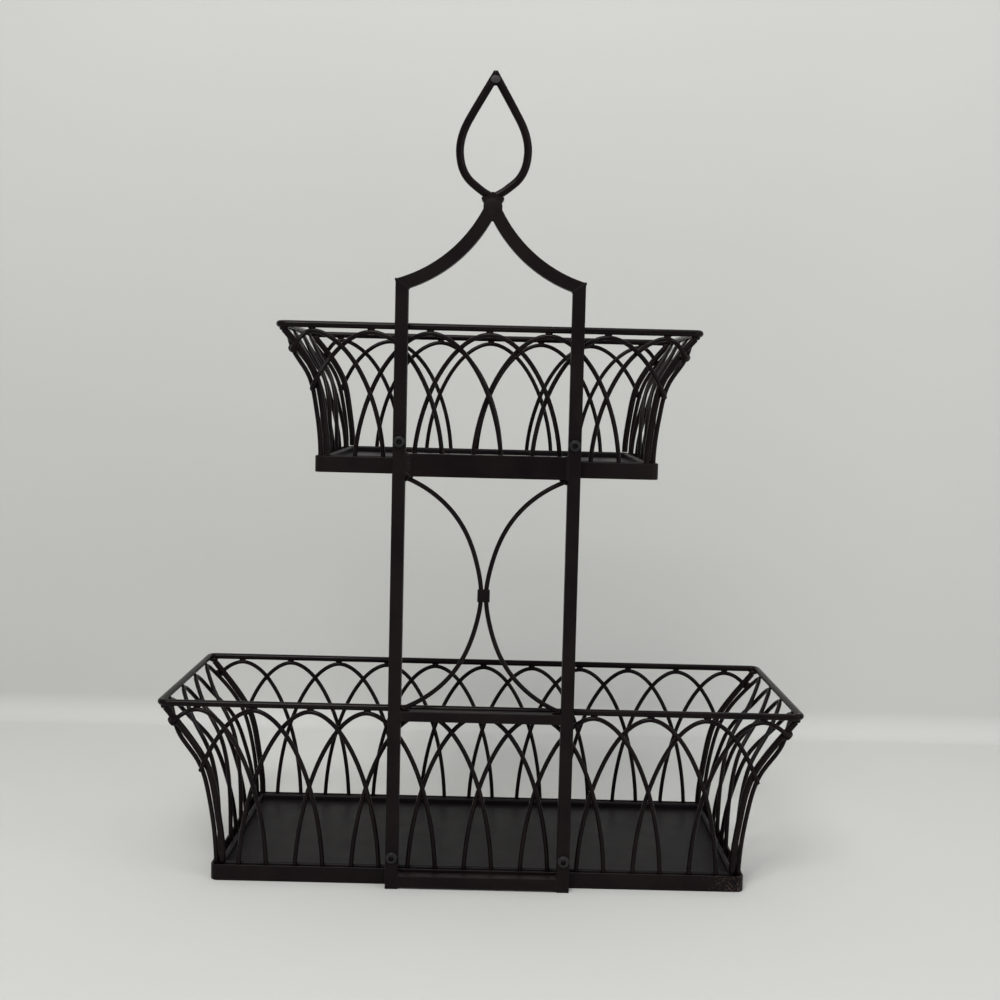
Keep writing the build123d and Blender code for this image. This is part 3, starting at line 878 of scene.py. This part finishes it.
@dataclass
class BasketWelds(Maker):
    """Spot welds, corner welds and knobs of one basket.

    Attributes:
        tier: Which basket it is.
        base: The height of the band's foot.
        rim_z: The height of the rim's middle.
        half_rim: Half the rim's width, at its middle.
        pitch: The spacing of the arches.
        long_count: The arches on each long side.
        end_count: The arches on each end.
        knob: Where a knob sits, across and up.
        tie: Where the next arch's leg ends at the post, across and up.
        lean: How far the ends lean out at the rim, in degrees.
        drop: How far below the rim's middle a spot weld's middle lies.
        finishes: The finish of each side's corner welds.
    """

    tier: Tier
    base: float
    rim_z: float
    half_rim: float
    pitch: float
    long_count: int
    end_count: int
    knob: tuple[float, float]
    tie: tuple[float, float]
    slot: ClassVar[Slot] = Slot.WIRE
    lean: ClassVar[float] = 30.0
    drop: ClassVar[float] = 2.93
    finishes: ClassVar[dict[str, Finish]] = {"right": Finish.SCUFFED_WELD, "left": Finish.WELD}

    def spot_welds(self) -> None:
        """A nugget between the rim and the top of every arch."""
        drops = lumps_at(
            (0.0, 0.0, 0.0),
            ((0.0, 0.0, 0.0), (3.1, 1.35, 0.95), 0.0),
            ((0.4, 0.0, 0.0), (2.0, 1.5, 1.1), 0.0),
        )
        pattern = weld("nugget", drops, VOXEL)
        nuggets = []
        for i in range(self.long_count):
            x = (i - (self.long_count - 1) / 2) * self.pitch
            for y in (WIRE_FRONT_Y, WIRE_BACK_Y):
                place = Matrix.Translation(Vector((x, y, self.rim_z - self.drop)) * MM)
                nuggets.append(copy_to(pattern, place))
        turn = math.radians(self.lean)
        for i in range(self.end_count):
            y = MIDDLE_Y + (i - (self.end_count - 1) / 2) * self.pitch
            for side in (-1, 1):
                across = side * (self.half_rim - self.drop * math.sin(turn))
                spot = Vector((across, y, self.rim_z - self.drop * math.cos(turn))) * MM
                lean = Matrix.Rotation(side * turn, 4, "Y") @ Matrix.Rotation(math.pi / 2, 4, "Z")
                nuggets.append(copy_to(pattern, Matrix.Translation(spot) @ lean))
        bpy.data.objects.remove(pattern)
        self.keep(join(nuggets, f"{self.tier.value}_spot_welds"))

    def keep_corners(self, lumps: list[Lump], name: str, voxel: float) -> None:
        """Melts the lumps of the front right corner and sets them at all four.

        Args:
            lumps: The lumps of the front right corner.
            name: What the beads are called.
            voxel: How finely they are melted, in millimetres.
        """
        right = lumps + [lump.behind() for lump in lumps]
        for side, row in (("right", right), ("left", mirrored(right))):
            self.keep(weld(f"{self.tier.value}_{side}_{name}", row, voxel), self.finishes[side])

    def corner_welds(self) -> None:
        """A collar of weld under each corner of the rim, where a post ends."""
        lumps = lumps_at(
            (self.half_rim, POST_FRONT_Y, self.rim_z),
            ((-3.4, -0.4, -3.2), (3.0, 2.7, 1.9), 20.0),
            ((-5.0, -1.4, -2.3), (2.4, 1.9, 1.4), -10.0),
            ((-1.8, 1.2, -2.9), (1.9, 2.6, 1.5), 26.0),
        )
        self.keep_corners(lumps, "corner_welds", COARSE_VOXEL)

    def knobs(self) -> None:
        """A knob on each post, where the outermost arches of two panels run into it."""
        x, z = self.knob
        lumps = lumps_at(
            (x, POST_FRONT_Y, z),
            ((0.0, -2.2, 0.0), (2.8, 3.2, 3.4), 24.0),
            ((-2.2, -2.8, 2.0), (2.3, 1.9, 2.2), 30.0),
            ((2.4, 1.2, 0.4), (2.2, 3.2, 3.0), 24.0),
            ((2.8, 3.8, 1.2), (1.9, 2.4, 2.6), 24.0),
        )
        self.keep_corners(lumps, "knobs", KNOB_VOXEL)

    def tie_welds(self) -> None:
        """A small bead where the second arch's leg ends on the post."""
        x, z = self.tie
        lumps = lumps_at(
            (x, POST_FRONT_Y, z),
            ((-0.4, -3.2, 0.4), (2.0, 2.2, 2.4), 20.0),
            ((1.0, -0.6, -0.8), (1.7, 2.4, 2.2), 20.0),
        )
        self.keep_corners(lumps, "tie_welds", COARSE_VOXEL)

    def tab_welds(self) -> None:
        """A bead along the foot of each tab, on top of the band."""
        reach = 3.4
        y, z = BAND_FRONT_Y + 1.6, self.base + BAND_HEIGHT
        row = ripple_row((SCREW_X - reach, y, z), (SCREW_X + reach, y, z), (1.3, 0.7, 0.9), 1.5)
        for side, lumps in (("right", row), ("left", mirrored(row))):
            self.keep(weld(f"{self.tier.value}_{side}_tab_weld", lumps, FINE_VOXEL), slot=Slot.BAND)

    def build(self) -> None:
        """Builds every bead of the basket."""
        self.spot_welds()
        self.corner_welds()
        self.knobs()
        self.tie_welds()
        self.tab_welds()


@dataclass
class ScrewThreads(Maker):
    """Thread crests on the tips of the screws, inside the baskets.

    Attributes:
        heights: The screws' heights in the lower and the upper basket.
        radius: The shank's radius.
        crest_size: The half size of a crest's section.
        thread_pitch: The thread's pitch.
        turns: How many turns show.
        steps: The facets of one turn.
        start_y: Where the thread starts.
    """

    slot: ClassVar[Slot] = Slot.SCREW
    heights: ClassVar[tuple[float, float]] = (25.3, 353.3)
    radius: ClassVar[float] = 2.5
    crest_size: ClassVar[float] = 0.30
    thread_pitch: ClassVar[float] = 0.8
    turns: ClassVar[int] = 3
    steps: ClassVar[int] = 40
    start_y: ClassVar[float] = -90.75

    def crest(self) -> bpy.types.Object:
        """Builds one helical crest from a small wedge, wound by a Screw modifier."""
        deselect()
        bpy.ops.mesh.primitive_circle_add(vertices=3, radius=self.crest_size * MM, location=(0, 0, 0))
        crest = bpy.context.active_object
        bpy.ops.object.mode_set(mode="EDIT")
        bpy.ops.mesh.select_all(action="SELECT")
        for axis in ("Z", "X"):
            bpy.ops.transform.rotate(value=math.pi / 2, orient_axis=axis, center_override=(0, 0, 0))
        bpy.ops.transform.translate(value=(self.radius * MM, 0, 0))
        bpy.ops.object.mode_set(mode="OBJECT")
        apply_modifier(
            crest, "SCREW", axis="Z", screw_offset=self.thread_pitch * MM, iterations=self.turns,
            steps=self.steps, render_steps=self.steps, use_merge_vertices=True,
        )
        bpy.ops.object.mode_set(mode="EDIT")
        bpy.ops.mesh.select_all(action="SELECT")
        bpy.ops.mesh.fill_holes(sides=0)
        bpy.ops.mesh.normals_make_consistent(inside=False)
        bpy.ops.object.mode_set(mode="OBJECT")
        crest.rotation_euler = (-math.pi / 2, 0, 0)
        settle(crest)
        smooth_but(crest, 35)
        return crest

    def build(self) -> None:
        """Winds the crests and puts one on each screw."""
        pattern = self.crest()
        for tier, height in zip(Tier, self.heights):
            pair = []
            for x in (-SCREW_X, SCREW_X):
                place = Vector((x, self.start_y, height)) * MM
                pair.append(copy_to(pattern, Matrix.Translation(place)))
            self.keep(join(pair, f"{tier.value}_screw_threads"), Finish.SCREW)
        bpy.data.objects.remove(pattern)


# Coats on the frame's own pieces


@dataclass
class Coats:
    """Puts the coats on the pieces that come with the frame.

    Attributes:
        shop: Where the finishes come from.
    """

    shop: FinishShop

    def finish_of(self, node: str) -> Finish:
        """Chooses the finish of a node.

        Args:
            node: The node's name.

        Returns:
            The finish.
        """
        if node.endswith("_screws"):
            return Finish.SCREW
        if node.endswith("_tray"):
            return Finish.TRAY
        if node in ("lower_band", "lower_tabs"):
            return Finish.LOWER_BAND
        if node in ("upper_band", "upper_tabs"):
            return Finish.UPPER_BAND
        if node in ("finial_left", "finial_right", "left_arc", "right_arc", "upper_rail"):
            return Finish.WIRE
        if node.startswith(("lower_", "upper_")):
            return Finish.WIRE
        return Finish.FRAME

    def build(self) -> None:
        """Dresses every node."""
        for node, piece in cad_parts.items():
            finish = self.finish_of(node)
            self.shop.dress(piece, finish)
            LOG.info("%s: %s", node, finish.value)


# Set, light and camera


@dataclass(frozen=True)
class SoftBox:
    """A square lamp that looks at a point.

    Attributes:
        name: The lamp's name.
        place: Where it hangs.
        target: What it looks at.
        size: Its side.
        power: Its power in watts.
        colour: Its colour.
    """

    name: str
    place: Point
    target: Point
    size: float
    power: float
    colour: Colour

    def hang(self) -> None:
        """Hangs the lamp in the scene."""
        data = bpy.data.lights.new(self.name, "AREA")
        data.shape = "SQUARE"
        data.size = self.size
        data.energy = self.power
        data.color = self.colour
        lamp = bpy.data.objects.new(self.name, data)
        bpy.context.scene.collection.objects.link(lamp)
        lamp.location = self.place
        sight = Vector(self.target) - Vector(self.place)
        lamp.rotation_euler = sight.to_track_quat("-Z", "Y").to_euler()


@dataclass(frozen=True)
class Studio:
    """The plain pale set the stand is shown on, its light and its camera, in metres.

    Attributes:
        eye: The camera's place.
        yaw: How far it looks to the right, in degrees.
        pitch: How far it looks down.
        roll: How far the picture turns clockwise.
        lens: The camera's focal length in millimetres.
        sensor: The width of the camera's sensor in millimetres.
        sight: The nearest and the farthest thing that the camera sees.
        wall_y: Where the wall stands.
        cove: How wide the cove between floor and wall is.
        reach: How far the floor and the wall reach.
        sink: How far the floor lies below the stand's feet.
        paint: The colour of the floor and the wall.
        lamps: The soft boxes.
        room: The colour of the light from all sides.
        room_strength: How strong that light is.
    """

    eye: Point = (0.00793, -1.13468, 0.39155)
    yaw: float = 0.17
    pitch: float = 4.50
    roll: float = 1.40
    lens: float = 48.25
    sensor: float = 36.0
    sight: tuple[float, float] = (0.01, 50.0)
    wall_y: float = 0.42
    cove: float = 0.03
    reach: float = 3.0
    sink: float = 0.0001
    paint: Colour = (0.62, 0.62, 0.60)
    lamps: tuple[SoftBox, ...] = (
        SoftBox("key", (-0.45, -1.5, 2.1), (0, 0, 0.2), 0.9, 34.0, (1.0, 0.985, 0.96)),
        SoftBox("fill", (1.6, -1.2, 0.9), (0, 0, 0.25), 1.4, 10.0, (0.95, 0.98, 1.0)),
        SoftBox("top", (0.1, -0.1, 2.2), (0, 0, 0.0), 1.6, 13.0, (1.0, 1.0, 1.0)),
    )
    room: Colour = (0.80, 0.82, 0.84)
    room_strength: float = 0.38

    def floor(self) -> None:
        """A floor and a wall in one sheet, with a small cove between them."""
        deselect()
        bpy.ops.mesh.primitive_plane_add(size=2.0, location=(0, 0, 0))
        sheet = bpy.context.active_object
        sheet.name = "floor"
        sheet.scale = (self.reach, (self.wall_y + self.reach) / 2, 1.0)
        sheet.location = (0, (self.wall_y - self.reach) / 2, -self.sink)
        settle(sheet)
        at_wall = [vertex.co.y > self.wall_y - self.cove for vertex in sheet.data.vertices]
        for edge in sheet.data.edges:
            edge.select = all(at_wall[i] for i in edge.vertices)
        for face in sheet.data.polygons:
            face.select = False
        for vertex, chosen in zip(sheet.data.vertices, at_wall):
            vertex.select = chosen
        bpy.ops.object.mode_set(mode="EDIT")
        bpy.ops.mesh.select_mode(type="EDGE")
        bpy.ops.mesh.extrude_region_move(TRANSFORM_OT_translate={"value": (0, 0, self.reach)})
        bpy.ops.object.mode_set(mode="OBJECT")
        apply_modifier(sheet, "BEVEL", width=self.cove, segments=10, limit_method="ANGLE")
        smooth_but(sheet, 40)
        sheet.data.materials.append(WallPaint("pale_set", self.paint).material())

    def light(self) -> None:
        """A key from above in front, a fill and a pale room."""
        for lamp in self.lamps:
            lamp.hang()
        world = bpy.data.worlds.new("room")
        bpy.context.scene.world = world
        world.use_nodes = True
        background = world.node_tree.nodes["Background"]
        background.inputs["Color"].default_value = (*self.room, 1.0)
        background.inputs["Strength"].default_value = self.room_strength

    def camera(self) -> None:
        """Stands the camera where the picture was taken from."""
        yaw, pitch, roll = (math.radians(angle) for angle in (self.yaw, self.pitch, self.roll))
        level = math.cos(pitch)
        ahead = Vector((math.sin(yaw) * level, math.cos(yaw) * level, -math.sin(pitch)))
        right = Vector((math.cos(yaw), -math.sin(yaw), 0.0))
        up = right.cross(ahead)
        turned_right = math.cos(roll) * right + math.sin(roll) * up
        turned_up = -math.sin(roll) * right + math.cos(roll) * up
        data = bpy.data.cameras.new("camera")
        data.lens = self.lens
        data.sensor_width = self.sensor
        data.clip_start, data.clip_end = self.sight
        camera = bpy.data.objects.new("camera", data)
        bpy.context.scene.collection.objects.link(camera)
        turn = Matrix((turned_right, turned_up, -ahead)).transposed()
        camera.matrix_world = Matrix.Translation(self.eye) @ turn.to_4x4()
        bpy.context.scene.camera = camera

    def build(self) -> None:
        """Builds the set and chooses how colours are shown."""
        self.floor()
        self.light()
        self.camera()
        bpy.context.scene.view_settings.view_transform = "Standard"


def main() -> None:
    """Builds the looks in order and reports each piece."""
    logging.basicConfig(level=logging.INFO, format="%(name)s %(message)s")
    shop = FinishShop()
    shop.build()
    Coats(shop).build()
    lower = BasketWelds(
        shop, Tier.LOWER, base=0.0, rim_z=142.0, half_rim=254.8, pitch=45.0, long_count=11, end_count=4,
        knob=(244.3, 126.4), tie=(221.0, 88.6),
    )
    upper = BasketWelds(
        shop, Tier.UPPER, base=328.0, rim_z=442.4, half_rim=163.9, pitch=46.0, long_count=7, end_count=4,
        knob=(152.0, 422.8), tie=(136.6, 393.2),
    )
    for maker in (FrameWelds(shop), lower, upper, ScrewThreads(shop)):
        maker.build()
        for piece in maker.built:
            LOG.info("%s: %d faces", piece.name, len(piece.data.polygons))
    Studio().build()


if __name__ == "__main__":
    main()
